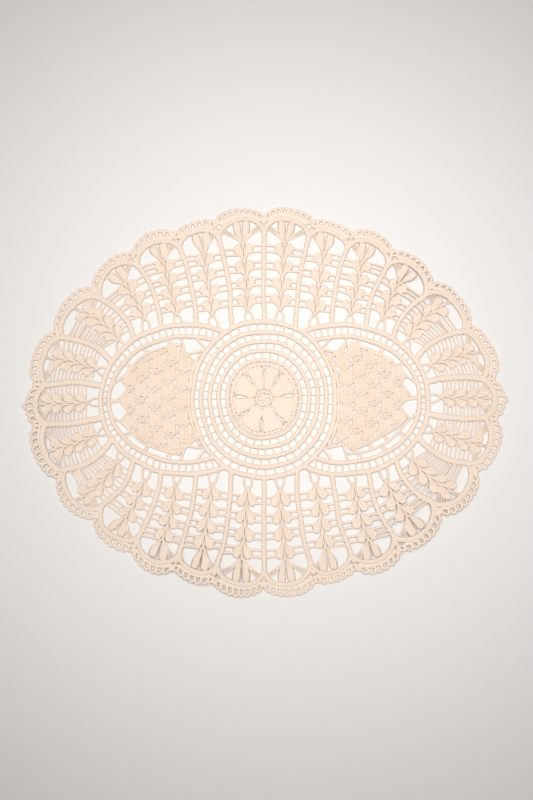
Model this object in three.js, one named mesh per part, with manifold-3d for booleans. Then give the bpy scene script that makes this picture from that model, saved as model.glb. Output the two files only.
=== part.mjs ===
// Oval openwork lace placemat, lying a little unevenly on a table.
// Millimetres, +Z up, origin on the table under the middle of the mat, +X along its length.

import * as THREE from 'three';
import Module from 'manifold-3d';
import { mergeVertices } from 'three/addons/utils/BufferGeometryUtils.js';

// Thicknesses, measured up from the table where the mat lies flat
const groundTop = 1.4;
const reliefTop = 2.0;
const ribTop = 2.6;
const ribBase = 0.5;
const ribWidth = 3.8;

// How far a cutting solid reaches above and below the mat
const cutReach = 40;

// Medallion in the middle: nested ovals, half length by half width
const medallionPower = 2.12;
const medallionRibs = [
  { halfX: 56.8, halfY: 61.2 },
  { halfX: 49.6, halfY: 53.2 },
  { halfX: 42.8, halfY: 45.4 },
  { halfX: 36.0, halfY: 38.0 },
  { halfX: 29.2, halfY: 30.8 },
];

// Flower inside the medallion
const petalCount = 8;
const petal = { inner: 7.4, outer: 23.5, halfWidth: 7.2, swell: 0.6, roundness: 6 };

// Two lobes, left and right, each edged by two ribs that end on the medallion
const lobeCentreX = 62;
const lobePower = 2.05;
const lobeRibs = [
  { halfX: 67.0, halfY: 58.8 },
  { halfX: 60.4, halfY: 49.4 },
];

// Square blocks of the lobe's filling: the column's x, and the y of its rows above the axis
const blockSize = 8.6;
const blockColumns = [
  { x: 64.5, rows: [0, 14, 28] },
  { x: 75.0, rows: [7, 21, 36] },
  { x: 86.0, rows: [0, 15, 30] },
  { x: 96.0, rows: [8, 24] },
  { x: 106.0, rows: [0, 17] },
];

// Ribs between the side panels in one quarter, each curving from foot past bend to tip.
// The edging reaches past the tip by notch.
const sideRibs = [
  { foot: [0, 61.2], bend: [0, 95], tip: [0, 131], notch: 11 },
  { foot: [25.5, 56.6], bend: [26.5, 98], tip: [36, 128.5], notch: 11 },
  { foot: [54, 58.4], bend: [56, 92], tip: [66.5, 119], notch: 11 },
  { foot: [82, 56.2], bend: [83.5, 84], tip: [97.5, 110], notch: 8 },
  { foot: [103, 47], bend: [105, 67.5], tip: [127, 84], notch: 9.5 },
  { foot: [120.5, 30.5], bend: [133.5, 47.5], tip: [157, 51.5], notch: 6 },
  { foot: [128, 13], bend: [150, 18], tip: [173, 16.8], notch: 8.5 },
];

// Arches that join two tips over a crest, in the same order; the last one spans the mat's end.
// The picots reach past the crest by picot.
const arches = [
  { crest: [18.5, 143.5], picot: 9.6 },
  { crest: [50.5, 133.5], picot: 8.8 },
  { crest: [84, 125], picot: 8.4 },
  { crest: [117.8, 102.4], picot: 7.6 },
  { crest: [149, 74.9], picot: 7 },
  { crest: [172, 38.3], picot: 6.8 },
  { crest: [179.6, 0], picot: 9.6 },
];

// Largest gaps of the net in one quarter, as corners
const gapCorners = [
  [[50.6, 38.2], [61.2, 36.8], [64.4, 45.4], [54.2, 46.6]],
  [[110.9, 9], [112.2, 5.4], [115.4, 4], [118.7, 5.4], [120, 9], [118.7, 12.6], [115.4, 14], [112.2, 12.6]],
  [[29.3, 60.2], [38.3, 61.2], [38.3, 70], [29.6, 70]],
];

// How the mat lies: soft rises off the table, each with its middle, its turn, its half sizes
// in x and y, and its height
const rises = [
  { x: -54, y: -132, alongX: 70, alongY: 56, turn: 0, height: 6 },
  { x: 116, y: -96, alongX: 74, alongY: 58, turn: 35, height: 6.5 },
  { x: 124, y: 92, alongX: 54, alongY: 46, turn: -40, height: 4 },
  { x: -182, y: -24, alongX: 44, alongY: 60, turn: 0, height: 3 },
];

// How the net is pulled out of true in the plane: sheared, and drifting along the length
const shear = 0.01;
const driftX = 1.2;
const halfLength = 190;

const quarters = [
  [1, 1],
  [-1, 1],
  [-1, -1],
  [1, -1],
];

const wasm = await Module();
wasm.setup();

// Height of the mat's underside above the table
function liftAt(x, y) {
  let lift = 0;
  for (const rise of rises) {
    const angle = THREE.MathUtils.degToRad(rise.turn);
    const along = (x - rise.x) * Math.cos(angle) + (y - rise.y) * Math.sin(angle);
    const across = (y - rise.y) * Math.cos(angle) - (x - rise.x) * Math.sin(angle);
    const spread = Math.min(1, Math.hypot(along / rise.alongX, across / rise.alongY));
    lift += rise.height * Math.cos((Math.PI * spread) / 2) ** 2;
  }
  return lift;
}

// Moves a geometry from the flat pattern to where the mat lies
function lay(geometry) {
  const position = geometry.getAttribute('position');
  for (let i = 0; i < position.count; i += 1) {
    const x = position.getX(i);
    const y = position.getY(i);
    const drift = driftX * (1 - (x / halfLength) ** 2 + Math.sin((Math.PI * x) / halfLength));
    position.setXYZ(i, x - drift, y + shear * x, position.getZ(i) + liftAt(x, y));
  }
  return geometry;
}

function toSolid(geometry) {
  const bare = geometry.clone();
  bare.deleteAttribute('normal');
  bare.deleteAttribute('uv');
  const merged = mergeVertices(bare, 1e-4);
  return new wasm.Manifold(new wasm.Mesh({
    numProp: 3,
    vertProperties: new Float32Array(merged.getAttribute('position').array),
    triVerts: new Uint32Array(merged.getIndex().array),
  }));
}

function toGeometry(solid) {
  const mesh = solid.getMesh();
  const geometry = new THREE.BufferGeometry();
  geometry.setAttribute('position', new THREE.BufferAttribute(mesh.vertProperties, 3));
  geometry.setIndex(new THREE.BufferAttribute(mesh.triVerts, 1));
  geometry.computeVertexNormals();
  return geometry;
}

// Upright solid of a flat shape between two heights, laid on the table
function slabOf(shape, bottom, top) {
  const geometry = new THREE.ExtrudeGeometry(shape, { depth: top - bottom, bevelEnabled: false });
  return toSolid(lay(geometry.translate(0, 0, bottom)));
}

function mirrored(point, quarter) {
  return new THREE.Vector2(point[0] * quarter[0], point[1] * quarter[1]);
}

// Point of an oval |x/a|^n + |y/b|^n = 1 at an angle, with n = 2 an ellipse
function ovalPoint(oval, power, angle, centreX = 0) {
  const c = Math.cos(angle);
  const s = Math.sin(angle);
  const x = oval.halfX * Math.sign(c) * Math.abs(c) ** (2 / power);
  const y = oval.halfY * Math.sign(s) * Math.abs(s) ** (2 / power);
  return new THREE.Vector2(centreX + x, y);
}

function grown(oval, amount) {
  return { halfX: oval.halfX + amount, halfY: oval.halfY + amount };
}

// Points along a curve given as a function of 0 to 1
function sampled(curve, steps) {
  return Array.from({ length: steps + 1 }, (_, i) => curve(i / steps));
}

// Corded band of even width: a box in steps, bent along a curve and laid on the table
function bandAlong(curve, steps) {
  const band = new THREE.BoxGeometry(1, ribWidth, ribTop - ribBase, steps, 1, 1);
  band.translate(0.5, 0, (ribTop + ribBase) / 2);
  const position = band.getAttribute('position');
  const step = 0.01;
  for (let i = 0; i < position.count; i += 1) {
    const t = position.getX(i);
    const ahead = curve(Math.min(t + step, 1)).sub(curve(Math.max(t - step, 0))).normalize();
    const spot = curve(t).addScaledVector(new THREE.Vector2(-ahead.y, ahead.x), position.getY(i));
    position.setXY(i, spot.x, spot.y);
  }
  return toSolid(lay(band));
}

function ringShape(oval, power, width, steps) {
  const around = (amount) => sampled((t) => ovalPoint(grown(oval, amount), power, 2 * Math.PI * t), steps);
  const shape = new THREE.Shape(around(width / 2).slice(0, -1));
  shape.holes.push(new THREE.Path(around(-width / 2).slice(0, -1)));
  return shape;
}

// Angle on a lobe's rib where it runs onto the medallion, found by halving
function meetingAngle(oval) {
  const halvings = 30;
  const medallion = medallionRibs[0];
  let outside = Math.PI / 2;
  let inside = Math.PI;
  for (let i = 0; i < halvings; i += 1) {
    const middle = (outside + inside) / 2;
    const point = ovalPoint(oval, lobePower, middle, lobeCentreX);
    const reach = Math.abs(point.x / medallion.halfX) ** medallionPower
      + Math.abs(point.y / medallion.halfY) ** medallionPower;
    if (reach > 1) {
      outside = middle;
    } else {
      inside = middle;
    }
  }
  return outside;
}

// Half ellipse from tip to tip over a crest
function archCurve(tipA, tipB, crest) {
  const middle = tipA.clone().add(tipB).multiplyScalar(0.5);
  const half = tipA.clone().sub(middle);
  const rise = crest.clone().sub(middle);
  return (t) => middle.clone()
    .addScaledVector(half, Math.cos(Math.PI * t))
    .addScaledVector(rise, Math.sin(Math.PI * t));
}

// A side rib's curve in its quarter, and the notch of the edging past its tip
function placeRib(index, quarter) {
  const rib = sideRibs[index];
  const curve = new THREE.QuadraticBezierCurve(
    mirrored(rib.foot, quarter),
    mirrored(rib.bend, quarter),
    mirrored(rib.tip, quarter),
  );
  return {
    index,
    quarter,
    path: (t) => curve.getPoint(t),
    tip: curve.getPoint(1),
    notch: curve.getPoint(1).addScaledVector(curve.getTangent(1), rib.notch),
  };
}

// One panel from a rib to the next: its rib, its arch and its scalloped outer edge
function placePanel(rib, next) {
  const { crest, picot } = arches[Math.min(rib.index, next.index)];
  const { quarter } = rib.index > next.index ? rib : next;
  const top = mirrored(crest, quarter);
  const middle = rib.tip.clone().add(next.tip).multiplyScalar(0.5);
  const outward = top.clone().sub(middle).normalize();
  return {
    rib: rib.path,
    arch: archCurve(rib.tip, next.tip, top),
    scallop: archCurve(rib.notch, next.notch, top.clone().addScaledVector(outward, picot)),
  };
}

// The panels in order around the mat, anticlockwise from its right-hand end
function listPanels() {
  const fromMiddle = sideRibs.map((_, index) => index).slice(1);
  const toMiddle = sideRibs.map((_, index) => index).reverse();
  const ribs = [
    ...toMiddle.map((index) => placeRib(index, [1, 1])),
    ...fromMiddle.map((index) => placeRib(index, [-1, 1])),
    ...toMiddle.map((index) => placeRib(index, [-1, -1])),
    ...fromMiddle.map((index) => placeRib(index, [1, -1])),
  ];
  return ribs.map((rib, i) => placePanel(rib, ribs[(i + 1) % ribs.length]));
}

function outlineShape(panels) {
  const steps = 6;
  return new THREE.Shape(panels.flatMap((panel) => sampled(panel.scallop, steps).slice(0, -1)));
}

// Ground of the lace: a thin sheet in cells, trimmed to the scalloped edge and pierced by the gaps
function makeGround(panels) {
  const cell = 14;
  const cellsX = Math.round((2 * halfLength) / cell) + 2;
  const cellsY = 23;
  const sheet = new THREE.BoxGeometry(cellsX * cell, cellsY * cell, groundTop, cellsX, cellsY, 1);
  let ground = toSolid(lay(sheet.translate(0, 0, groundTop / 2)));
  ground = ground.intersect(slabOf(outlineShape(panels), -cutReach, cutReach));
  for (const quarter of quarters) {
    for (const corners of gapCorners) {
      const shape = new THREE.Shape(corners.map((corner) => mirrored(corner, quarter)));
      ground = ground.subtract(slabOf(shape, -cutReach, cutReach));
    }
  }
  return ground;
}

function makeMedallion() {
  const steps = 28;
  return medallionRibs.map((oval) => {
    const ring = ringShape(oval, medallionPower, ribWidth, steps);
    return slabOf(ring, ribBase, ribTop);
  });
}

// One petal, whose half width swells from its root as t^swell and closes round at t = 1
function petalShape(angle) {
  const steps = 5;
  const { inner, outer, halfWidth, swell, roundness } = petal;
  const side = (sign) => (t) => new THREE.Vector2(
    THREE.MathUtils.lerp(inner, outer, t),
    sign * halfWidth * t ** swell * Math.sqrt(1 - t ** roundness),
  ).rotateAround(new THREE.Vector2(), angle);
  const there = sampled(side(-1), steps);
  const back = sampled(side(1), steps).reverse().slice(1, -1);
  return new THREE.Shape([...there, ...back]);
}

function makeFlower() {
  return Array.from({ length: petalCount }, (_, i) => {
    const angle = (2 * Math.PI * (i + 0.5)) / petalCount;
    return slabOf(petalShape(angle), ribBase, reliefTop);
  });
}

function makeLobe(side) {
  const steps = 20;
  const solids = lobeRibs.map((oval) => {
    const reach = meetingAngle(oval);
    return bandAlong((t) => {
      const point = ovalPoint(oval, lobePower, THREE.MathUtils.lerp(-reach, reach, t), lobeCentreX);
      return new THREE.Vector2(point.x * side, point.y);
    }, steps);
  });
  for (const { x, rows } of blockColumns) {
    for (const y of new Set(rows.flatMap((row) => [row, -row]))) {
      solids.push(makeBlock(x * side, y));
    }
  }
  return solids;
}

function makeBlock(x, y) {
  const block = new THREE.BoxGeometry(blockSize, blockSize, reliefTop - ribBase);
  return toSolid(lay(block.translate(x, y, (reliefTop + ribBase) / 2)));
}

function makePanel(panel) {
  const ribSteps = 5;
  const archSteps = 6;
  return [bandAlong(panel.rib, ribSteps), bandAlong(panel.arch, archSteps)];
}

const panels = listPanels();
const reliefs = [
  ...makeMedallion(),
  ...makeFlower(),
  ...makeLobe(1),
  ...makeLobe(-1),
  ...panels.flatMap(makePanel),
];
const matSolid = reliefs.reduce((mat, relief) => mat.add(relief), makeGround(panels));

const thread = new THREE.MeshStandardMaterial({ color: 0xf7e5d0, roughness: 0.9, metalness: 0 });
const placemat = new THREE.Mesh(toGeometry(matSolid), thread);
placemat.name = 'placemat';

const group = new THREE.Group();
group.add(placemat);

export default group;
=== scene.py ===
# Oval crochet lace placemat in cream cotton, lying a little unevenly on a table.
# The lace is drawn flat in millimetres, one quarter at a time, and layDown puts it on the table in metres.

import bpy
import numpy as np
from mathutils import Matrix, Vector


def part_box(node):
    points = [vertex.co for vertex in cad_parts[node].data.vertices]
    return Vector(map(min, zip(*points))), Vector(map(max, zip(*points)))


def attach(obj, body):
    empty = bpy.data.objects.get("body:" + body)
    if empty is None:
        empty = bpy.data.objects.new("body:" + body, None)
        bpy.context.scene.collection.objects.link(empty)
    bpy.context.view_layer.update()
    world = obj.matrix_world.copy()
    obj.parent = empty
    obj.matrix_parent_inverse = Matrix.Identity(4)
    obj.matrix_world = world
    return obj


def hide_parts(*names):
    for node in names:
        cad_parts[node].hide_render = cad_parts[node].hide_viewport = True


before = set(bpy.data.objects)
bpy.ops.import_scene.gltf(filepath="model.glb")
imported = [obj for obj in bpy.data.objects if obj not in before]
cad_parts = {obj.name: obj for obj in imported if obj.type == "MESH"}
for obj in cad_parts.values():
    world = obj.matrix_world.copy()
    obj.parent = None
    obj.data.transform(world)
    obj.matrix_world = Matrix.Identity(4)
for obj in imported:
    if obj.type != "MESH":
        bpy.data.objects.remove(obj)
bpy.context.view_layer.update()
matLow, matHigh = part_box("placemat")
print("frame loaded")

millimetre = 0.001
fullTurn = 2 * np.pi
quarters = [(1, 1), (-1, 1), (-1, -1), (1, -1)]
hands = (1, -1)  # left and right of a line, or above and below the mat's axis

# Points on a line before it is spaced evenly
linePoints = {"oval": 1200, "ladder": 1600, "chain": 400, "spine": 300, "arch": 200, "rib": 60}


# How the mat lies: soft rises off the table, and how the net has shifted

matLie = {
    "rises": [
        # x, y, alongX, alongY, turn in degrees, height
        (-54, -132, 70, 56, 0, 2.8),
        (116, -96, 74, 58, 35, 2.6),
        (124, 92, 54, 46, -40, 1.9),
        (-182, -24, 44, 60, 0, 2.0),
    ],
    "shear": (0.014, 90.0, 150.0),  # of the ends: amount, from where and to where it grows
    "sag": (1.1, 150.0),  # how far the ends hang down, and where
    "twist": (2.4, 150.0, 90.0),  # how far the top corners lean to the left, and a corner's place
    "drift": 1.2,
    "halfLength": 190.0,
    "wobble": 0.22,  # how far hand tension pulls threads out of line
    "waves": [(0.17, 0.05, 0.3), (-0.07, 0.19, 1.7), (0.11, -0.13, 4.1)],  # per mm along x and y, and start
    "waveRatio": 1.3,  # how much closer the waves in y are than those in x
}


# Height of the underside: the sum over the rises of height · cos^2 of a quarter turn times the share of the
# way from a rise's middle to the edge of its turned oval
def liftAt(x, y):
    lift = np.zeros_like(x)
    for riseX, riseY, alongX, alongY, turn, height in matLie["rises"]:
        angle = np.radians(turn)
        along = (x - riseX) * np.cos(angle) + (y - riseY) * np.sin(angle)
        across = (y - riseY) * np.cos(angle) - (x - riseX) * np.sin(angle)
        spread = np.minimum(1, np.hypot(along / alongX, across / alongY))
        lift += height * np.cos(np.pi / 2 * spread) ** 2
    return lift


# Flat pattern in millimetres to the table in metres: x drifts by a parabola plus a sine along the length and
# twists by x^2 y, y shears near the ends and sags by the fourth power of x, z gains the lift, and three
# plane waves add the hand wobble
def layDown(points):
    x, y, z = points[..., 0], points[..., 1], points[..., 2]
    drift = matLie["drift"] * (1 - (x / matLie["halfLength"]) ** 2 + np.sin(np.pi * x / matLie["halfLength"]))
    wobbleX, wobbleY = np.zeros_like(x), np.zeros_like(x)
    for alongX, alongY, start in matLie["waves"]:
        phase = alongX * x + alongY * y + start
        wobbleX += np.sin(phase)
        wobbleY += np.cos(matLie["waveRatio"] * phase)
    twist, twistX, twistY = matLie["twist"]
    shear, shearFrom, shearTo = matLie["shear"]
    sag, sagAt = matLie["sag"]
    lean = twist * (x / twistX) ** 2 * y / twistY
    slant = shear * x * smoothRise(np.abs(x), shearFrom, shearTo)
    laid = np.stack([
        x - drift - lean + matLie["wobble"] * wobbleX,
        y + slant - sag * (x / sagAt) ** 4 + matLie["wobble"] * wobbleY,
        z + liftAt(x, y),
    ], -1) * millimetre
    return laid + np.array([(matLow.x + matHigh.x) / 2, (matLow.y + matHigh.y) / 2, matLow.z])


# Small numpy tools

# Vectors over their length, with a floor under the length so that a zero one stays zero
def unit(vectors, floor=1e-9):
    return vectors / np.maximum(np.linalg.norm(vectors, axis=-1, keepdims=True), floor)


# From 0 at low to 1 at high as 3t^2 - 2t^3
def smoothRise(t, low, high):
    t = np.clip((t - low) / (high - low), 0, 1)
    return t * t * (3 - 2 * t)


# A cosine or sine raised to 2/fullness with its sign kept: a ring of both is an ellipse at 2 and squarer
# above it
def fuller(wave, fullness):
    return np.sign(wave) * np.abs(wave) ** (2 / fullness)


# Flat points (x, y) to (x, y, height)
def withHeight(flat, height):
    height = np.asarray(height, float)[..., None]
    return np.concatenate([flat, np.broadcast_to(height, flat.shape[:-1] + (1,))], -1)


# Unit vectors (cos a, sin a)
def towards(angle):
    return np.stack([np.cos(angle), np.sin(angle)], -1)


# A direction turned a quarter turn to the left: (x, y) to (-y, x)
def leftOf(ahead):
    return np.stack([-ahead[..., 1], ahead[..., 0]], -1)


# Distance along a line to each of its points: the running sum of the steps between them
def runningLength(points):
    return np.concatenate([[0], np.cumsum(np.linalg.norm(np.diff(points, axis=0), axis=1))])


# Length of a line: the sum of the steps between its points
def lengthOf(points):
    return runningLength(points)[-1]


# Points at given distances along a line, each in proportion between its two neighbours
def pointsAt(places, along, points):
    return np.stack([np.interp(places, along, points[:, i]) for i in range(points.shape[1])], -1)


# Points at even steps along a line; a closed line also runs from its last point to its first
def evenly(points, count, closed=False):
    if closed:
        points = np.concatenate([points, points[:1]])
    along = runningLength(points)
    stations = np.linspace(0, along[-1], count + 1)[:-1] if closed else np.linspace(0, along[-1], count)
    return pointsAt(stations, along, points)


# Oval |x/a|^n + |y/b|^n = 1 at an angle, with n = 2 an ellipse
def ovalPoint(halfX, halfY, power, angle, centreX=0.0):
    x = halfX * fuller(np.cos(angle), power)
    y = halfY * fuller(np.sin(angle), power)
    return np.stack([centreX + x, y], -1)


# The same oval as a line of points, from one angle to another
def ovalLine(halfX, halfY, power, centreX=0.0, start=0.0, end=fullTurn):
    return ovalPoint(halfX, halfY, power, np.linspace(start, end, linePoints["oval"]), centreX)


# How far out a point lies by an oval: |x/a|^n + |y/b|^n, 1 on its line and more outside
def ovalReach(x, y, halfX, halfY, power):
    return np.abs(x / halfX) ** power + np.abs(y / halfY) ** power


# Quadratic curve from foot past bend to tip: weights (1-t)^2, 2t(1-t) and t^2
def curvePoint(foot, bend, tip, t):
    t = np.asarray(t, float)[..., None]
    return (1 - t) ** 2 * foot + 2 * t * (1 - t) * bend + t ** 2 * tip


# Half oval from one tip to the next over a crest: middle + half·cos(pi t) + rise·sin(pi t), both raised to
# 2/fullness, so that 2 is an ellipse, more is squarer and less is more pointed
def archPoint(tipA, tipB, crest, t, fullness):
    middle = (tipA + tipB) / 2
    angle = np.pi * t[:, None]
    along = (tipA - middle) * fuller(np.cos(angle), fullness)
    return middle + along + (crest - middle) * fuller(np.sin(angle), fullness)


# Surfaces. Each is a dictionary of points, four-cornered and three-cornered faces, and the stitch
# coordinates of their corners: first millimetres across the stitches, then the share of the way round

capLength = 0.5  # of the point that closes a cord's end, as a share of its half height

padShape = {
    "across": [1.0, 0.94, 0.74, 0.48, 0.24, 0.0, -0.24, -0.48, -0.74, -0.94, -1.0],
    "underAcross": [-0.6, 0.6],
    "underUp": [-0.06, -0.06],
    "roundness": 2.4,
    "level": 0.15,
    "fullHeightFrom": 1.6,  # half width from which a pad has its full height
    "edge": 0.12,
    "tip": 0.12,
}


# Cord: each path point carries a flattened ring, point + side·width·cos(a) + up·height·sin(a), where both
# are raised to 2/squareness; an open cord closes in a point past each end
def sweep(paths, halfWidth, halfHeight, sides, closed=False, squareness=2.0):
    paths = np.asarray(paths, float)
    if paths.ndim == 2:
        paths = paths[None]
    count, steps = paths.shape[:2]
    if closed:
        ahead = np.roll(paths, -1, 1) - np.roll(paths, 1, 1)
        nextPoint = np.roll(paths, -1, 1)
    else:
        ahead = np.gradient(paths, axis=1)
        nextPoint = np.concatenate([paths[:, 1:], paths[:, -1:]], 1)
    ahead = unit(ahead)
    side = unit(withHeight(leftOf(ahead), 0.0))
    up = np.cross(ahead, side)
    width = np.broadcast_to(np.asarray(halfWidth, float), (count, steps))[..., None, None]
    height = np.broadcast_to(np.asarray(halfHeight, float), (count, steps))[..., None, None]
    angle = fullTurn * np.arange(sides) / sides
    cosine, sine = (fuller(wave(angle), squareness)[:, None] for wave in (np.cos, np.sin))
    rings = paths[:, :, None] + side[:, :, None] * width * cosine + up[:, :, None] * height * sine
    step = np.linalg.norm(nextPoint - paths, axis=-1)
    along = np.concatenate([np.zeros((count, 1)), np.cumsum(step, 1)], 1)
    return ringFaces(rings, along, paths, ahead * height[..., 0] * capLength, closed)


# Joins rings (count, steps, sides, 3) with quads, ring i to ring i + 1; an open row gets a fan of triangles
# to a point past each end. The stitch coordinates are the length along and the share of the way round
def ringFaces(rings, along, middles, past, closed, shares=None):
    count, steps, sides = rings.shape[:3]
    rows = steps if closed else steps - 1
    i, j = np.meshgrid(np.arange(rows), np.arange(sides), indexing="ij")
    iNext, jNext = (i + 1) % steps, (j + 1) % sides
    quads = np.stack([i * sides + j, i * sides + jNext, iNext * sides + jNext, iNext * sides + j], -1)
    quads = quads.reshape(-1, 4)
    shares = np.linspace(0, 1, sides + 1) if shares is None else shares
    around = shares[np.stack([j, j + 1, j + 1, j], -1).reshape(-1, 4)]
    start, end = along[:, i.ravel()], along[:, i.ravel() + 1]
    quadStitch = np.stack([
        np.stack([start, start, end, end], -1),
        np.broadcast_to(around, (count,) + around.shape),
    ], -1)
    each = steps * sides
    points = rings.reshape(count, each, 3)
    tris = np.zeros((count, 0, 3), int)
    triStitch = np.zeros((count, 0, 3, 2))
    if not closed:
        poles = np.stack([middles[:, 0] - past[:, 0], middles[:, -1] + past[:, -1]], 1)
        points = np.concatenate([points, poles], 1)
        j = np.arange(sides)
        last = (steps - 1) * sides
        firstFan = np.stack([np.full(sides, each), (j + 1) % sides, j], -1)
        lastFan = np.stack([np.full(sides, each + 1), last + j, last + (j + 1) % sides], -1)
        tris = np.broadcast_to(np.concatenate([firstFan, lastFan]), (count, 2 * sides, 3))
        middleShare = (shares[j] + shares[j + 1]) / 2
        fanAround = np.stack([middleShare, shares[j + 1], shares[j]], -1)
        fanAround = np.concatenate([fanAround, np.stack([middleShare, shares[j], shares[j + 1]], -1)])
        ends = np.repeat(np.stack([along[:, 0], along[:, steps - 1]], 1), sides, 1)
        triStitch = np.stack([
            np.repeat(ends[..., None], 3, -1),
            np.broadcast_to(fanAround, (count,) + fanAround.shape),
        ], -1)
    offset = (np.arange(count) * points.shape[1])[:, None, None]
    return {
        "points": points.reshape(-1, 3),
        "quads": (quads[None] + offset).reshape(-1, 4),
        "quadStitch": quadStitch.reshape(-1, 4, 2),
        "tris": (tris + offset).reshape(-1, 3),
        "triStitch": triStitch.reshape(-1, 3, 2),
    }


# Pad on a row of stations: each is a flattened half round, middle + left·width·a + height·(1 - |a|^r)^(1/r)
# for a from 1 to -1, on a flat underside; a dimple takes depth·exp(-(distance / radius)^2) off the top, and
# stitches run lengthwise, so the first stitch coordinate is measured across the pad
def padAlong(middle, left, halfWidths, height, dimple=None, roundness=padShape["roundness"]):
    count, steps = halfWidths.shape
    across = np.array(padShape["across"])
    up = (1 - np.abs(across) ** roundness) ** (1 / roundness)
    across, up = np.append(across, padShape["underAcross"]), np.append(up, padShape["underUp"])
    shares = np.append(np.arctan2(up, across) / fullTurn % 1, 1.0)
    sideways = halfWidths[..., None] * across
    flat = middle[:, :, None] + left[:, :, None] * sideways[..., None]
    plump = height * np.minimum(1, halfWidths / padShape["fullHeightFrom"])[..., None]
    rim = padShape["level"] + padShape["edge"]
    z = rim + plump * up
    if dimple:
        station, depth, radius = dimple
        away = np.linalg.norm(flat - middle[:, station][:, None, None], axis=-1)
        z = z - np.where(up > 0, depth * np.exp(-(away / radius) ** 2), 0)
    rings = np.concatenate([flat, z[..., None]], -1)
    ends = withHeight(middle, rim)
    past = withHeight(unit(np.gradient(middle, axis=1)) * padShape["tip"], 0.0)
    made = ringFaces(rings, np.zeros((count, steps + 1)), ends, past, False, shares)
    place = np.concatenate([sideways.reshape(count, -1), np.zeros((count, 2))], 1).ravel()
    made["quadStitch"][..., 0] = place[made["quads"]]
    made["triStitch"][..., 0] = place[made["tris"]]
    return made


# One surface from several: all their points in a row, and each face's corner numbers plus the points before
# it
def joinSurfaces(surfaces):
    joined = {key: [] for key in surfaces[0]}
    offset = 0
    for surface in surfaces:
        for key, values in surface.items():
            joined[key].append(values + offset if key in ("quads", "tris") else values)
        offset += len(surface["points"])
    return {key: np.concatenate(values) for key, values in joined.items()}


# The same surface in another quarter: x and y times its signs, with the corner order turned where that flips
# the faces
def mirrorSurface(surface, quarter):
    made = dict(surface)
    made["points"] = surface["points"] * np.array([quarter[0], quarter[1], 1])
    if quarter[0] * quarter[1] < 0:
        for key in ("quads", "quadStitch", "tris", "triStitch"):
            made[key] = surface[key][:, ::-1]
    return made


# Each surface, followed by its mirror at the mat's other end: x to -x
def withMirrored(surfaces):
    return [made for surface in surfaces for made in (surface, mirrorSurface(surface, (-1, 1)))]


pieces = {}


# A mesh object from surfaces laid on the table: the corners of all quads, then of all triangles
def makePiece(name, surfaces, material):
    surface = joinSurfaces(surfaces)
    points = layDown(surface["points"])
    quads, tris = surface["quads"], surface["tris"]
    mesh = bpy.data.meshes.new(name)
    mesh.vertices.add(len(points))
    mesh.vertices.foreach_set("co", points.astype(np.float32).ravel())
    mesh.loops.add(quads.size + tris.size)
    mesh.loops.foreach_set("vertex_index", np.concatenate([quads.ravel(), tris.ravel()]).astype(np.int32))
    mesh.polygons.add(len(quads) + len(tris))
    starts = np.concatenate([np.arange(len(quads)) * 4, quads.size + np.arange(len(tris)) * 3])
    mesh.polygons.foreach_set("loop_start", starts.astype(np.int32))
    stitches = mesh.uv_layers.new(name="stitches")
    corners = np.concatenate([surface["quadStitch"].reshape(-1, 2), surface["triStitch"].reshape(-1, 2)])
    stitches.uv.foreach_set("vector", corners.astype(np.float32).ravel())
    mesh.update(calc_edges=True)
    mesh.polygons.foreach_set("use_smooth", np.ones(len(mesh.polygons), bool))
    mesh.materials.append(material)
    piece = bpy.data.objects.new(name, mesh)
    bpy.context.scene.collection.objects.link(piece)
    pieces[name] = piece
    print(name, len(quads) * 2 + len(tris), "triangles")


# Materials: cream crochet cotton, spun and plied, worked four ways. To the eye it is a soft matt cream with
# a faint bloom along the edges of each thread. A warmer, deeper cream is painted into the grooves where the
# strands lie close and down the sides of each cord, as painted shade. Its loose fibres make it rough, and its
# IOR stays at the usual 1.5, close to cotton's own

cottonThread = {
    "light": "ecdac8",  # the thread's own cream, left unshaded on the crown
    "paintedShadeColour": "ecc49d",  # painted shade: warmer, deeper cream for the grooves and a cord's sides, in place of shade
    "pale": "f2e6da",  # slow patches, a little bleached
    "roughness": 0.82,
    "specular": 0.3,
    "sheen": 0.1,
    "sheenRoughness": 0.5,
    "bendScale": 180.0,  # per metre: ridges stray over about 6 mm
    "bend": 0.6,  # how far they stray, as a share of their spacing
    "fuzzScale": 900.0,  # per metre: tufts of loose fibre of about 1 mm
    "cloudScale": 28.0,  # per metre: paler patches of about 36 mm
    "grooveShade": (0.55, 0.35),  # painted shade in the grooves: share of a ridge's height it reaches, and how strong
    "flankShade": (0.7, 0.4),  # the same painted shade for the side of a cord below its crown
    "bump": 0.6,
}

# Each way of working the thread: ridge spacing in mm across the stitches, turns of the twist round the cord,
# bump height in mm, and how much of it is loose fibre. A strand is 0.35 mm, too fine to show, so the ridges
# are drawn three to seven times as coarse
threadWork = {
    # padded satin stitch: plump smooth bands with fine ridges
    "satinStitch": {"spacing": 2.1, "twist": 0.0, "height": 0.55, "fuzz": 0.6},
    # long stitches laid side by side: straight rays over each petal
    "laidPetals": {"spacing": 2.3, "twist": 0.0, "height": 0.55, "fuzz": 0.8},
    # plied thread: slanting ridges that catch the light like rope
    "twistedThread": {"spacing": 2.0, "twist": 2.0, "height": 0.10, "fuzz": 0.6},
    # darned blocks: flat and matt, in close upright rows
    "darnedFilling": {"spacing": 1.2, "twist": 0.0, "height": 0.08, "fuzz": 0.6},
}


# sRGB hex to linear: c / 12.92 up to 0.04045, and ((c + 0.055) / 1.055)^2.4 above it
def linearColour(hexColour):
    values = np.array([int(hexColour[i:i + 2], 16) for i in (0, 2, 4)]) / 255
    linear = np.where(values <= 0.04045, values / 12.92, ((values + 0.055) / 1.055) ** 2.4)
    return (*[float(v) for v in linear], 1.0)


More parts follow.
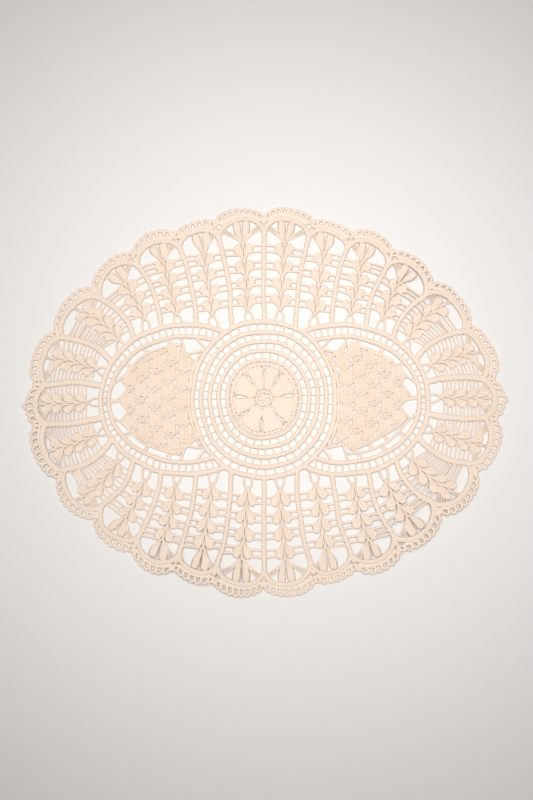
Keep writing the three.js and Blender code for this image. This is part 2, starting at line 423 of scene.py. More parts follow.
# Adds a node: settings are its own, and each input is a link or a value, by its name with _ for a space, or
# by i and its number
def addNode(tree, kind, settings=None, **inputs):
    node = tree.nodes.new(kind)
    for key, value in (settings or {}).items():
        setattr(node, key, value)
    for key, value in inputs.items():
        numbered = key[0] == "i" and key[1:].isdigit()
        socket = node.inputs[int(key[1:]) if numbered else key.replace("_", " ")]
        if isinstance(value, bpy.types.NodeSocket):
            tree.links.new(value, socket)
        else:
            socket.default_value = value
    return node


# Cotton for one way of working: ridges are the sine of a whole turn times (across / spacing + twist · share
# round + noise), the grooves between them and the cord's flanks get painted shade, a deeper and warmer
# cream, by whichever is stronger, and slow clouds of noise vary the cream over the mat
def cottonMaterial(name):
    work = threadWork[name]
    material = bpy.data.materials.new("cotton_" + name)
    material.use_nodes = True
    tree = material.node_tree
    tree.nodes.clear()
    place = addNode(tree, "ShaderNodeTexCoord").outputs["Object"]
    stitches = addNode(tree, "ShaderNodeUVMap", {"uv_map": "stitches"}).outputs["UV"]
    parts = addNode(tree, "ShaderNodeSeparateXYZ", i0=stitches)
    bend = addNode(tree, "ShaderNodeTexNoise", Vector=place, Scale=cottonThread["bendScale"], Detail=2.0)
    turns = addNode(tree, "ShaderNodeMath", {"operation": "MULTIPLY"},
                    i0=parts.outputs["X"], i1=1 / work["spacing"])
    twist = addNode(tree, "ShaderNodeMath", {"operation": "MULTIPLY_ADD"},
                    i0=parts.outputs["Y"], i1=work["twist"], i2=turns.outputs[0])
    uneven = addNode(tree, "ShaderNodeMath", {"operation": "MULTIPLY_ADD"},
                     i0=bend.outputs["Fac"], i1=cottonThread["bend"], i2=twist.outputs[0])
    angle = addNode(tree, "ShaderNodeMath", {"operation": "MULTIPLY"}, i0=uneven.outputs[0], i1=fullTurn)
    wave = addNode(tree, "ShaderNodeMath", {"operation": "SINE"}, i0=angle.outputs[0])
    ridge = addNode(tree, "ShaderNodeMapRange", Value=wave.outputs[0],
                    From_Min=-1.0, From_Max=1.0, To_Min=0.0, To_Max=1.0)
    fuzz = addNode(tree, "ShaderNodeTexNoise", Vector=place, Scale=cottonThread["fuzzScale"], Detail=3.0)
    relief = addNode(tree, "ShaderNodeMath", {"operation": "MULTIPLY_ADD"},
                     i0=fuzz.outputs["Fac"], i1=work["fuzz"], i2=ridge.outputs[0])
    bump = addNode(tree, "ShaderNodeBump", Strength=cottonThread["bump"],
                   Distance=work["height"] * millimetre, Height=relief.outputs[0])
    cloud = addNode(tree, "ShaderNodeTexNoise", Vector=place, Scale=cottonThread["cloudScale"], Detail=3.0)
    cream = addNode(tree, "ShaderNodeMix", {"data_type": "RGBA"}, i0=cloud.outputs["Fac"],
                    i6=linearColour(cottonThread["light"]), i7=linearColour(cottonThread["pale"]))
    # Painted shade in the grooves between ridges, strongest at their foot
    grooveTop, grooveShadeStrength = cottonThread["grooveShade"]
    grooveShade = addNode(tree, "ShaderNodeMapRange", Value=ridge.outputs[0],
                     From_Min=0.0, From_Max=grooveTop, To_Min=grooveShadeStrength, To_Max=0.0)
    aroundTurn = addNode(tree, "ShaderNodeMath", {"operation": "MULTIPLY"},
                         i0=parts.outputs["Y"], i1=fullTurn)
    crown = addNode(tree, "ShaderNodeMath", {"operation": "SINE"}, i0=aroundTurn.outputs[0])
    # Painted shade down a cord's sides, below its crown
    flankTop, flankShadeStrength = cottonThread["flankShade"]
    flankShade = addNode(tree, "ShaderNodeMapRange", Value=crown.outputs[0],
                    From_Min=0.0, From_Max=flankTop, To_Min=flankShadeStrength, To_Max=0.0)
    paintedShadeMask = addNode(tree, "ShaderNodeMath", {"operation": "MAXIMUM"},
                     i0=grooveShade.outputs[0], i1=flankShade.outputs[0])
    # Painted shade: the deeper, warmer cream mixed in by the stronger of the two masks
    colour = addNode(tree, "ShaderNodeMix", {"data_type": "RGBA"}, i0=paintedShadeMask.outputs[0],
                     i6=cream.outputs[2], i7=linearColour(cottonThread["paintedShadeColour"]))
    shader = addNode(tree, "ShaderNodeBsdfPrincipled", Base_Color=colour.outputs[2], Normal=bump.outputs[0])
    shader.inputs["Roughness"].default_value = cottonThread["roughness"]
    shader.inputs["Sheen Weight"].default_value = cottonThread["sheen"]
    shader.inputs["Sheen Roughness"].default_value = cottonThread["sheenRoughness"]
    shader.inputs["Sheen Tint"].default_value = linearColour(cottonThread["light"])
    shader.inputs["Specular IOR Level"].default_value = cottonThread["specular"]
    addNode(tree, "ShaderNodeOutputMaterial", Surface=shader.outputs[0])
    return material


satinStitch = cottonMaterial("satinStitch")
twistedThread = cottonMaterial("twistedThread")
darnedFilling = cottonMaterial("darnedFilling")
laidPetals = cottonMaterial("laidPetals")
print("materials made")


# Corded ribs: five nested ovals, a lobe of two ribs at each side of them, and the ribs and arches of the
# side panels

cords = {
    "level": 1.25,
    "halfHeight": 1.2,
    "squareness": 2.6,
    "sides": 12,
    "step": 1.6,
    "ribHalf": [1.7, 1.75, 1.75, 1.8, 2.0, 2.25, 2.3],
    "archHalf": [1.9, 1.9, 1.9, 1.95, 2.05, 2.15, 2.2],
    "knot": 0.1,  # how much wider a cord is where a thread leaves it
    "knotPitch": 6.6,
    "shortOfNotch": 4.6,  # a rib runs on between two arches and ends this far before the notch
}

medallion = {
    "power": 2.12,
    # half length, half width, half width of the cord
    "ribs": [
        (56.8, 61.2, 1.9),
        (49.6, 53.2, 1.7),
        (42.8, 45.4, 1.6),
        (36.0, 38.0, 1.5),
        (29.2, 30.8, 1.4),
    ],
}

lobe = {
    "centreX": 62.0,
    "power": 2.05,
    "ribs": [(67.0, 58.8, 1.9), (60.4, 49.4, 1.65)],
}

# Ribs and arches in one quarter, from the middle of the long side to the mat's end
sidePanel = {
    # foot, bend and tip of each rib, and the notch of the edging beyond it
    "ribs": [
        ((0, 61.2), (0, 95), (0, 131), (0, 142.5)),
        ((25.5, 56.6), (26.5, 98), (36.5, 127), (40.5, 140.4)),
        ((54, 58.4), (56, 92), (66.8, 118), (72, 131)),
        ((82, 56.2), (84.5, 86), (99.5, 105.5), (104.3, 117)),
        ((103, 47), (106, 67.5), (127.2, 80), (132.9, 88.5)),
        ((120.5, 30.5), (133.5, 49.5), (157, 51.5), (162.7, 57)),
        ((128, 12.6), (150, 17.6), (169.5, 15.5), (178.6, 16.2)),
    ],
    # crest of the arch between two ribs, how far the picots reach past it, and how full the arch is
    "arches": [
        ((18.7, 143.5), 9.6, 2.1),
        ((54.6, 133.6), 8.6, 2.1),
        ((88.0, 124.8), 9.2, 2.0),
        ((122.6, 103.2), 7.4, 2.0),
        ((150.8, 76.6), 7.8, 2.05),
        ((173.2, 37.0), 8.5, 2.1),
        ((180.0, 0), 7.9, 1.8),
    ],
}
endKind = len(sidePanel["arches"]) - 1  # a panel's kind is its arch's number, and this is the mat's ends'


# Cord along a line: half width times 1 + knot·cos(2 pi s / pitch) with a whole number of knots, and half
# height times the root of that
def cordAlong(line, halfWidth, closed=False):
    flat = evenly(line, int(lengthOf(line) / cords["step"]), closed)
    count = len(flat)
    knots = max(1, round(lengthOf(flat) / cords["knotPitch"]))
    swell = 1 + cords["knot"] * np.cos(fullTurn * knots * np.arange(count) / (count if closed else count - 1))
    return sweep(withHeight(flat, cords["level"]), halfWidth * swell, cords["halfHeight"] * np.sqrt(swell),
                 cords["sides"], closed, cords["squareness"])


# The medallion's ribs: a closed cord on each oval
def medallionCords():
    made = []
    for halfX, halfY, halfWidth in medallion["ribs"]:
        line = ovalLine(halfX, halfY, medallion["power"])[:-1]
        made.append(cordAlong(line, halfWidth, closed=True))
    return made


# How far out a point lies by the medallion's outer rib, grown by a few millimetres: 1 on it, more outside
def medallionReach(points, grow=0.0):
    halfX, halfY, _ = medallion["ribs"][0]
    return ovalReach(points[..., 0], points[..., 1], halfX + grow, halfY + grow, medallion["power"])


# The right lobe's ribs: the part of each oval that lies outside the medallion
def lobeCords():
    made = []
    for halfX, halfY, halfWidth in lobe["ribs"]:
        line = ovalLine(halfX, halfY, lobe["power"], lobe["centreX"], -np.pi, np.pi)
        made.append(cordAlong(line[medallionReach(line) > 1], halfWidth))
    return made


# The ribs as they follow each other round the mat, anticlockwise from its right-hand end, with their
# quarter: down to the middle one and up again, twice
def ribOrder():
    toMiddle, fromMiddle = list(range(endKind, -1, -1)), list(range(1, endKind + 1))
    order = []
    for indices, quarter in zip((toMiddle, fromMiddle, toMiddle, fromMiddle), quarters):
        order += [(index, quarter) for index in indices]
    return order


# One rib in its quarter: its line, a quadratic curve, its tip, and the notch of the edging beyond the tip
def placeRib(index, quarter):
    foot, bend, tip, notch = (np.array(point, float) * quarter for point in sidePanel["ribs"][index])
    line = curvePoint(foot, bend, tip, np.linspace(0, 1, linePoints["rib"]))
    return {"index": index, "quarter": quarter, "line": line, "tip": tip, "notch": notch}


# The panels between the ribs: an arch is a half oval from tip to tip over the crest, and the scallop one
# from notch to notch over the crest moved outwards by the picots' reach
def listPanels():
    ribs = [placeRib(index, quarter) for index, quarter in ribOrder()]
    t = np.linspace(0, 1, linePoints["arch"])
    made = []
    for rib, following in zip(ribs, ribs[1:] + ribs[:1]):
        kind = min(rib["index"], following["index"])
        quarter = rib["quarter"] if rib["index"] > following["index"] else following["quarter"]
        crest, past, fullness = sidePanel["arches"][kind]
        crest = np.array(crest, float) * quarter
        outward = unit(crest - (rib["tip"] + following["tip"]) / 2)
        made.append({
            "kind": kind,
            "quarter": quarter,
            "ribs": (rib, following),
            "arch": archPoint(rib["tip"], following["tip"], crest, t, fullness),
            "scallop": archPoint(rib["notch"], following["notch"], crest + outward * past, t, fullness),
        })
    return made


panels = listPanels()


# Each panel's first rib, run on straight past its tip to shortOfNotch before the notch, and the panel's arch
def panelCords():
    made = []
    for panel in panels:
        rib = panel["ribs"][0]
        beyond = rib["notch"] - rib["tip"]
        beyond = unit(beyond) * (np.linalg.norm(beyond) - cords["shortOfNotch"])
        line = np.concatenate([rib["line"], rib["line"][-1:] + beyond])
        made.append(cordAlong(line, cords["ribHalf"][rib["index"]]))
        made.append(cordAlong(panel["arch"], cords["archHalf"][panel["kind"]]))
    return made


# Leaves, two and two up each panel's spine, and a tulip of two petals under its arch; in the panels at the
# ends the tulip is one more pair of leaves, and the spine goes on to the arch

# One entry for each panel kind
motif = {
    # foot, bend and top of the spine
    "spine": [
        ((12.3, 60.5), (14.6, 98.0), (18.5, 143.5)),
        ((40.3, 59.0), (44.5, 95.0), (51.0, 133.8)),
        ((68.0, 58.0), (73.5, 90.0), (85.0, 125.0)),
        ((92.3, 52.5), (95.8, 76.6), (119.6, 104.2)),
        ((112.0, 39.5), (118.5, 60.8), (149.8, 76.2)),
        ((125.0, 22.5), (143.5, 32.0), (172.8, 37.2)),
        ((131.0, 0.0), (155.0, 0.0), (180.0, 0.0)),
    ],
    "tulipDrop": [20.3, 18.9, 16.6, 16.6, 17.1, 16.1, 14.9],  # of the tulip's base below the spine's top
    "spacing": [13.4, 12.4, 11.0, 10.6, 9.8, 9.2, 9.0],  # from one leaf pair to the next
    "pairs": [4, 4, 4, 3, 3, 3, 3],
    "leafLength": [14.0, 13.1, 11.9, 12.0, 11.9, 11.2, 10.9],
    "leafReach": [8.3, 8.1, 8.3, 8.7, 8.6, 8.2, 8.0],  # from the spine
    "leafEye": [0.5, 0.5, 0.6, 0.7, 0.6, 0.8, 0.6],  # half the eye between two leaves
}

leaf = {
    "height": 1.75,
    "stem": 2.0,
    "slit": 0.3,
    "swellFrom": 0.1,
    "fullFrom": 0.58,  # share of the length at which the leaf is widest
    "eyeFrom": 0.35,
    "roundFrom": 0.62,
    "shares": [0.0, 0.1, 0.2, 0.3, 0.4, 0.5, 0.6, 0.68, 0.76, 0.84, 0.91, 0.965, 0.992],
    "dimple": (7, 1.6, 1.1),  # station, depth, radius
}

tulip = {
    "reach": {0: 7.1, 1: 7.5, 2: 7.5, 3: 7.7},  # by panel kind; a kind that isn't here has leaves instead
    "height": 1.9,
    "stem": 2.3,
    "slit": 0.3,
    "swellFrom": 0.0,
    "fullFrom": 0.7,
    "eyeFrom": 0.5,
    "roundFrom": 0.84,
    "eye": 0.3,
    "short": 1.6,  # how far below the spine's top a petal ends
    "shares": [0.0, 0.1, 0.22, 0.35, 0.48, 0.61, 0.73, 0.82, 0.88, 0.93, 0.97, 0.993],
}


# A panel's spine: points on its quadratic curve, the length to each from the foot, and the unit vectors ahead
def panelAxes(panel):
    foot, bend, top = (np.array(point, float) * panel["quarter"] for point in motif["spine"][panel["kind"]])
    line = curvePoint(foot, bend, top, np.linspace(0, 1, linePoints["spine"]))
    along = runningLength(line)
    return {"line": line, "along": along, "ahead": unit(np.gradient(line, axis=0)), "length": along[-1]}


# The spine's point at a length from its foot, with the unit vectors ahead and to the left there
def spineAt(axes, place):
    point = pointsAt(place, axes["along"], axes["line"])
    ahead = unit(pointsAt(place, axes["along"], axes["ahead"]))
    return point, ahead, leftOf(ahead)


# Where the leaves start along the spine: the tulip's base first, then one spacing after another towards the
# foot
def jointPlaces(panel, axes):
    kind = panel["kind"]
    first = axes["length"] - motif["tulipDrop"][kind]
    return first - motif["spacing"][kind] * np.arange(motif["pairs"][kind] + 1)


# Leaf or petal as sections level across the spine, from base to base + length: the outer edge swells from
# the stem to the reach, the inner edge keeps a slit that opens into an eye, and both close in a quarter
# round at the tip
def bladePads(axes, bases, length, shape, reach, eye):
    t = np.array(shape["shares"])
    outer = shape["stem"] + (reach - shape["stem"]) * smoothRise(t, shape["swellFrom"], shape["fullFrom"])
    inner = shape["slit"] + eye * smoothRise(t, shape["eyeFrom"], 1)
    ending = np.sqrt(1 - np.clip((t - shape["roundFrom"]) / (1 - shape["roundFrom"]), 0, 1) ** 2)
    point, _, left = spineAt(axes, bases[:, None] + length * t)
    middles = [point + left * (hand * (outer + inner) / 2)[:, None] for hand in hands]
    halfWidths = np.broadcast_to((outer - inner) / 2 * ending, (2 * len(bases), len(t)))
    return np.concatenate(middles), np.concatenate([left, left]), halfWidths


# One surface from the pads of all panels, row after row
def joinedPads(parts, shape, dimple=None):
    middles, lefts, halfWidths = (np.concatenate(part) for part in zip(*parts))
    return padAlong(middles, lefts, halfWidths, shape["height"], dimple)


# A pair of leaves at each joint but the first, which is the tulip's where the panel has one
def leafPairs():
    parts = []
    for panel in panels:
        kind, axes = panel["kind"], panelAxes(panel)
        joints = jointPlaces(panel, axes)
        bases = joints[1:] if kind in tulip["reach"] else joints
        parts.append(bladePads(axes, bases, motif["leafLength"][kind], leaf, motif["leafReach"][kind],
                               motif["leafEye"][kind]))
    return joinedPads(parts, leaf, leaf["dimple"])


# Two petals from the first joint to a little short of the spine's top
def tulipPetals():
    parts = []
    for panel in panels:
        if panel["kind"] not in tulip["reach"]:
            continue
        axes = panelAxes(panel)
        base = jointPlaces(panel, axes)[:1]
        length = axes["length"] - tulip["short"] - base[0]
        parts.append(bladePads(axes, base, length, tulip, tulip["reach"][panel["kind"]], tulip["eye"]))
    return joinedPads(parts, tulip)


corded = medallionCords() + withMirrored(lobeCords()) + panelCords()
makePiece("lace_body", corded + [leafPairs(), tulipPetals()], satinStitch)


# Threads: round cords that bridge the ribs

threads = {
    "level": 1.15,
    "steps": 5,
    "sides": 7,
    "curveSteps": 9,
    "sagMiddle": 0.25,  # how much lower a bar is at its middle
}


# Round thread along a flat line: a sweep whose half width and half height are both the radius
def roundThread(flat, level, radius, sides=threads["sides"], closed=False):
    return sweep(withHeight(flat, level), radius, radius, sides, closed)


# Straight threads from a to b: a(1 - t) + b·t, with the level less sagMiddle·sin(pi t)
def bars(a, b, radius):
    t = np.linspace(0, 1, threads["steps"])[:, None]
    flat = a[:, None] * (1 - t) + b[:, None] * t
    level = threads["level"] - threads["sagMiddle"] * np.sin(np.pi * t[:, 0])
    return roundThread(flat, np.broadcast_to(level, flat.shape[:2]), radius)


ladders = {
    "radius": 0.62,
    "medallionSpacing": [7.5, 6.8, 6.6, 6.4],
    "lobeSpacing": 5.3,
    "offMedallion": 1.0,  # how far from the medallion's outer rib a lobe's bars begin
}


# Ends of the bars from one oval to the next at the same angle, spaced evenly along the oval midway between
# them
def ladderBetween(outer, inner, power, spacing, centreX=0.0, start=0.0):
    angle = np.linspace(start, start + fullTurn, linePoints["ladder"])
    middle = ovalPoint((outer[0] + inner[0]) / 2, (outer[1] + inner[1]) / 2, power, angle, centreX)
    along = runningLength(middle)
    count = int(round(along[-1] / spacing))
    chosen = np.interp((np.arange(count) + 0.5) / count * along[-1], along, angle)
    return [ovalPoint(oval[0], oval[1], power, chosen, centreX) for oval in (outer, inner)]


# Bars between each two ribs of the medallion, and round the part of each lobe that is outside it
def ladderBars():
    made = []
    ribs = medallion["ribs"]
    for outer, inner, spacing in zip(ribs, ribs[1:], ladders["medallionSpacing"]):
        a, b = ladderBetween(outer, inner, medallion["power"], spacing)
        made.append(bars(a, b, ladders["radius"]))
    a, b = ladderBetween(*lobe["ribs"], lobe["power"], ladders["lobeSpacing"], lobe["centreX"], -np.pi)
    keep = medallionReach(b, ladders["offMedallion"]) > 1
    return made + withMirrored([bars(a[keep], b[keep], ladders["radius"])])


panelBar = {
    # below each joint, as a share of the leaf spacing: two bars a leaf, and three in the panels near the ends
    "places": [[0.15, 0.52]] * 4 + [[0.05, 0.37, 0.7]] * 3,
    "radius": [0.94, 0.94, 0.94, 0.88, 0.66, 0.63, 0.62],
    "outerSide": 0.1,  # how much lower they are on the side towards the mat's end
    "inside": 3.5,  # how far from the spine a bar starts, inside the leaf
    "slack": 0.02,  # how far past the ends of a rib's edge a bar still meets it, as a share of the edge
}


# The side of a panel that faces the mat's end: the sign of its second rib's number less its first's, which
# is 1 for the left of its spine, -1 for the right and 0 for neither
def outerHand(panel):
    first, second = (rib["index"] for rib in panel["ribs"])
    return int(np.sign(second - first))


# Distance from each point to a rib along its direction, by cross products: (gap x edge) / (direction x edge)
# for each edge of the rib's line, and the least of those met between the edge's ends
def reachToRib(point, direction, rib):
    line = rib["line"]
    edge = (line[1:] - line[:-1])[None]
    gap = line[:-1][None] - point[:, None]
    direction = direction[:, None]
    cross = direction[..., 0] * edge[..., 1] - direction[..., 1] * edge[..., 0]
    far = (gap[..., 0] * edge[..., 1] - gap[..., 1] * edge[..., 0]) / cross
    share = (gap[..., 0] * direction[..., 1] - gap[..., 1] * direction[..., 0]) / cross
    met = (share >= -panelBar["slack"]) & (share <= 1 + panelBar["slack"]) & (far > 0)
    return np.where(met, far, np.inf).min(1)


# Bars level across a panel, from inside the leaves to the rib on each side
def panelBars():
    made = []
    for panel in panels:
        kind, axes = panel["kind"], panelAxes(panel)
        spacing = motif["spacing"][kind]
        joints = jointPlaces(panel, axes)[:-1]
        if kind not in tulip["reach"]:
            joints = np.append(joints[0] + spacing, joints)
        for hand, rib in zip(hands, panel["ribs"][::-1]):
            shares = np.array(panelBar["places"][kind]) + panelBar["outerSide"] * (hand == outerHand(panel))
            point, _, left = spineAt(axes, (joints[:, None] - shares * spacing).ravel())
            direction = left * hand
            reach = reachToRib(point, direction, rib)
            good = np.isfinite(reach)
            starts = point[good] + direction[good] * panelBar["inside"]
            ends = point[good] + direction[good] * reach[good][:, None]
            made.append(bars(starts, ends, panelBar["radius"][kind]))
    return made


makePiece("ladder_bars", ladderBars(), twistedThread)
makePiece("panel_bars", panelBars(), twistedThread)


# Spines, the looped feet under them, and the sepal threads that hold each tulip to the ribs

spine = {
    "step": 1.3,
    "past": 1.5,  # how far it goes on past the base of a tulip
    "joined": 0.35,  # from its line to each of its two threads at a joint
    "apart": 0.45,  # how much further midway between joints
    "radius": 0.6,
    "level": 1.6,
    "footStart": 0.5,  # from its line to where each foot thread starts
    "footSpread": 2.7,
    "footBend": (0.2, 3.4),  # share of the way down at which a foot bends, and how far it bends out
    "footRadius": 0.85,
    "footSides": 8,
    "borderSearch": (0.3, 2.5, 300),  # shares of a foot between which the border is looked for, and points
}

sepal = {
    # where the threads reach the arch, as shares of it from the rib, for each panel kind
    "fan": [[0.12, 0.16, 0.2]] * 4 + [[0.1, 0.15, 0.2, 0.25, 0.3, 0.35]] + [[0.12, 0.16, 0.2, 0.24]] * 2,
    "radius": 0.5,
    "above": 0.6,  # how far above the tulip's base they start
    "beside": 1.6,  # and how far beside the spine
    "bend": 0.45,  # share of the way up at which they bend
    "barKinds": (1, 2, 3, 4),  # panels with one bar towards the mat's end
    "barStart": 1.0,
    "barRadius": 0.8,
}


# Where the line start + (end - start)·share first comes inside the medallion's or a lobe's outer rib
def untilBorder(start, end):
    line = start + (end - start) * np.linspace(*spine["borderSearch"])[:, None]
    halfX, halfY, _ = lobe["ribs"][0]
    lobeReach = ovalReach(np.abs(line[:, 0]) - lobe["centreX"], line[:, 1], halfX, halfY, lobe["power"])
    inside = (lobeReach < 1) | (medallionReach(line) < 1)
    return line[np.argmax(inside)] if inside.any() else end


# Two threads up each spine, which part by |sin(pi s / spacing)| between joints, and two feet that curve from
# the lowest joint to the border
def spineThreads():
    made = []
    down, out = spine["footBend"]
    t = np.linspace(0, 1, threads["curveSteps"])
    for panel in panels:
        axes = panelAxes(panel)
        joints = jointPlaces(panel, axes)
        low, spacing = joints[-1], joints[0] - joints[1]
        high = joints[0] + spine["past"] if panel["kind"] in tulip["reach"] else axes["length"]
        places = np.linspace(low, high, int((high - low) / spine["step"]))
        point, _, left = spineAt(axes, places)
        weave = np.abs(np.sin(np.pi * (places - low) / spacing))[:, None]
        for hand in hands:
            flat = point + left * hand * (spine["joined"] + spine["apart"] * weave)
            made.append(roundThread(flat, spine["level"], spine["radius"]))
        (base, foot), _, (baseLeft, footLeft) = spineAt(axes, np.array([low, 0.0]))
        for hand in hands:
            start = base + baseLeft * hand * spine["footStart"]
            end = untilBorder(start, foot + footLeft * hand * spine["footSpread"])
            bend = start * (1 - down) + foot * down + footLeft * hand * out
            made.append(roundThread(curvePoint(start, bend, end, t), threads["level"], spine["footRadius"],
                                    spine["footSides"]))
    return made


# Sepals hold a tulip's base: a straight bar to the rib on the side of the mat's end, and on the other side a
# fan of threads that bend to the arch near the rib, each a quadratic curve; the other panels have fans on
# both sides
def sepalThreads():
    made = []
    t = np.linspace(0, 1, threads["curveSteps"])
    for panel in panels:
        kind, axes = panel["kind"], panelAxes(panel)
        base, ahead, left = spineAt(axes, jointPlaces(panel, axes)[:1] + sepal["above"])
        for hand, rib in zip(hands, panel["ribs"][::-1]):
            direction = left * hand
            if hand == outerHand(panel) and kind in sepal["barKinds"]:
                reach = reachToRib(base, direction, rib)
                if np.isfinite(reach[0]):
                    starts = base + direction * sepal["barStart"]
                    made.append(bars(starts, base + direction * reach[0], sepal["barRadius"]))
                    continue
            beside = direction[0] * sepal["beside"]
            start = base[0] + beside
            for share in sepal["fan"][kind]:
                end = panel["arch"][int((share if hand < 0 else 1 - share) * (linePoints["arch"] - 1))]
                bend = start + ahead[0] * np.dot(end - start, ahead[0]) * sepal["bend"] + beside
                made.append(roundThread(curvePoint(start, bend, end, t), threads["level"], sepal["radius"]))
    return made


makePiece("spines", spineThreads() + sepalThreads(), twistedThread)


# Picot edging: a band on the outside of each arch, which leaves the arch to bridge the notches, and a chain
# of open loops on the band

picot = {
    "spacing": [5.3, 5.3, 5.3, 5.3, 5.5, 6.2, 5.9],  # for each panel kind
    # height of the loops for each panel kind, by quarter
    "depth": {
        (1, 1): [4.7, 4.8, 4.8, 4.7, 4.7, 4.9, 5.2],
        (-1, 1): [5.0, 5.5, 5.8, 5.6, 5.4, 5.5, 5.5],
        (-1, -1): [5.8, 5.3, 5.6, 5.6, 5.5, 5.6, 5.5],
        (1, -1): [5.6, 5.0, 5.0, 5.0, 5.0, 5.4, 5.4],
    },
    "radius": 1.14,
    "notchDepth": 3.4,
    "spread": 0.47,  # half width of a loop as a share of the spacing
    "power": 2.4,
    "steps": 15,
    "level": 1.05,
    "intoBand": 0.6,  # how far a loop's feet reach into the band, as a share of its radius
    "tipReach": 1.9,  # how much further the loop at each end of the mat reaches
    "leave": (0.12, 0.24),  # share of the arch over which the band leaves it
    "leastFoot": 0.12,  # least share of the way from the arch to the edge at which the loops stand
    "offArch": 1.4,  # room between the band and the arch's line
    "bandHalf": 0.9,
    "bandHeight": 0.95,
    "bandPoints": 64,
    "bandSides": 10,
    "bandSquareness": 2.8,
}


# How near points along an arch are to being clear of its notches: a smooth rise of the share to the nearer
# end
def clearOfNotch(low, high):
    t = np.linspace(0, 1, linePoints["arch"])
    return smoothRise(np.minimum(t, 1 - t), low, high)


# Line the loops stand on, at 1 - depth / room of the way from the arch to the scalloped edge: notchDepth
# inside the edge at the notches, and the panel's own depth along the arch
def footLine(panel):
    room = np.linalg.norm(panel["scallop"] - panel["arch"], axis=-1)
    full = picot["depth"][panel["quarter"]][panel["kind"]]
    depth = picot["notchDepth"] + (full - picot["notchDepth"]) * clearOfNotch(0, picot["leave"][1])
    share = np.clip(1 - depth / room, picot["leastFoot"], 1)[:, None]
    return panel["arch"] * (1 - share) + panel["scallop"] * share


# Band inside each foot line: its half width grows from bandHalf at the notches to half the room to the arch
def picotBands():
    made = []
    for panel in panels:
        foot = footLine(panel)
        inward = panel["arch"] - foot
        full = np.maximum((np.linalg.norm(inward, axis=-1) - picot["offArch"]) / 2, picot["bandHalf"])
        half = picot["bandHalf"] + (full - picot["bandHalf"]) * clearOfNotch(*picot["leave"])
        middle = foot + unit(inward) * half[:, None]
        line = evenly(np.concatenate([middle, half[:, None]], -1), picot["bandPoints"])
        made.append(sweep(withHeight(line[:, :2], picot["level"]), line[:, 2], picot["bandHeight"],
                          picot["bandSides"], squareness=picot["bandSquareness"]))
    return made


# Loops: each goes sideways by spread·cos(a) and out from the foot line to the edge by sin(a), for a from 0
# to a half turn and both raised to 2/power; a panel at the mat's end has an odd number, and its middle one
# reaches further
def picotLoops():
    loops = []
    angle = np.linspace(0, np.pi, picot["steps"])
    sideways, outward = (fuller(wave(angle), picot["power"]) for wave in (np.cos, np.sin))
    for panel in panels:
        edge, foot = panel["scallop"], footLine(panel)
        along = runningLength(edge)
        count = int(round(along[-1] / picot["spacing"][panel["kind"]]))
        atEnd = panel["kind"] == endKind
        if atEnd:
            count += 1 - count % 2
        pitch = along[-1] / count
        centre = (np.arange(count) + 0.5) * pitch
        place = centre[:, None] - sideways * pitch * picot["spread"]
        edgePoint, footPoint = (pointsAt(place, along, line) for line in (edge, foot))
        inset = unit(footPoint - edgePoint) * picot["radius"]
        footPoint = footPoint + inset * picot["intoBand"]
        if atEnd:
            edgePoint[count // 2] += -unit(inset[count // 2]) * picot["tipReach"]
        flat = footPoint + (edgePoint + inset - footPoint) * outward[None, :, None]
        loops.append(roundThread(flat, picot["level"], picot["radius"]))
    return loops


makePiece("picot_edging", picotBands() + picotLoops(), twistedThread)


# Filling of the lobes: darned blocks with a rounded frame, in a net of doubled threads, edged by a row of
# long windows

filling = {
    "columnCurve": 0.0042,  # how much the columns bend towards the medallion, per mm squared from the axis
    "rise": {1: 3.4, -1: -0.4},  # how far the right and left fillings sit above the axis
    "riseFade": (0.7, 108, 125),  # share of the rise lost towards the lobe's end, and from and to which x
}

block = {
    "half": 4.5,
    # column x: rows of blocks above and below the axis
    "columns": {66.0: (0, 14, 28), 77.0: (7, 21, 36), 87.0: (0, 15, 30), 97.7: (8, 24), 106.9: (0, 17)},
    "strands": 5,
    "strandPitch": 1.52,
    "strandRadius": 0.84,
    "strandFlat": 0.9,  # its height as a share of its width
    "strandShort": 0.7,  # how far inside the block's edge it ends
    "strandLevel": (0.95, 0.35),  # at its ends, and how much higher it is in the middle
    "strandPoints": 6,
    "strandSides": 7,
    "frameRadius": 0.72,
    "frameTall": 1.2,  # its height as a share of its width
    "framePower": 3.0,
    "frameLevel": 1.05,
    "framePoints": 20,
    "frameSides": 6,
}


# The filling on its side of the mat: y gains the side's rise, less towards the lobe's end, and x loses
# curve·y^2
def placeFilling(flat, side):
    lost, fadeFrom, fadeTo = filling["riseFade"]
    rise = filling["rise"][side] * (1 - lost * smoothRise(flat[..., 0], fadeFrom, fadeTo))
    return np.stack([flat[..., 0] - filling["columnCurve"] * flat[..., 1] ** 2, flat[..., 1] + rise], -1)


# Blocks: upright strands side by side at level low + rise·(1 - t^4), inside a frame on the oval |x|^n +
# |y|^n = a^n
def fillingBlocks(side):
    half, strands = block["half"], block["strands"]
    bothWays = {x: sorted({*rows, *(-row for row in rows)}) for x, rows in block["columns"].items()}
    centres = np.array([(x, row) for x, rows in bothWays.items() for row in rows], float)
    centres = placeFilling(centres, side)
    offset = (np.arange(strands) - (strands - 1) / 2) * block["strandPitch"]
    t = np.linspace(-1, 1, block["strandPoints"])
    x = centres[:, 0][:, None, None] + offset[None, :, None] + 0 * t
    y = centres[:, 1][:, None, None] + (half - block["strandShort"]) * t + 0 * x
    low, rise = block["strandLevel"]
    level = low + rise * (1 - t ** 4) + 0 * x
    path = np.stack([x, y, level], -1).reshape(-1, len(t), 3)
    radius = block["strandRadius"]
    darning = sweep(path, radius, radius * block["strandFlat"], block["strandSides"])
    angle = fullTurn * np.arange(block["framePoints"]) / block["framePoints"]
    outline = ovalPoint(half, half, block["framePower"], angle) + centres[:, None]
    outline = withHeight(outline, block["frameLevel"])
    radius = block["frameRadius"]
    return [darning, sweep(outline, radius, radius * block["frameTall"], block["frameSides"], closed=True)]


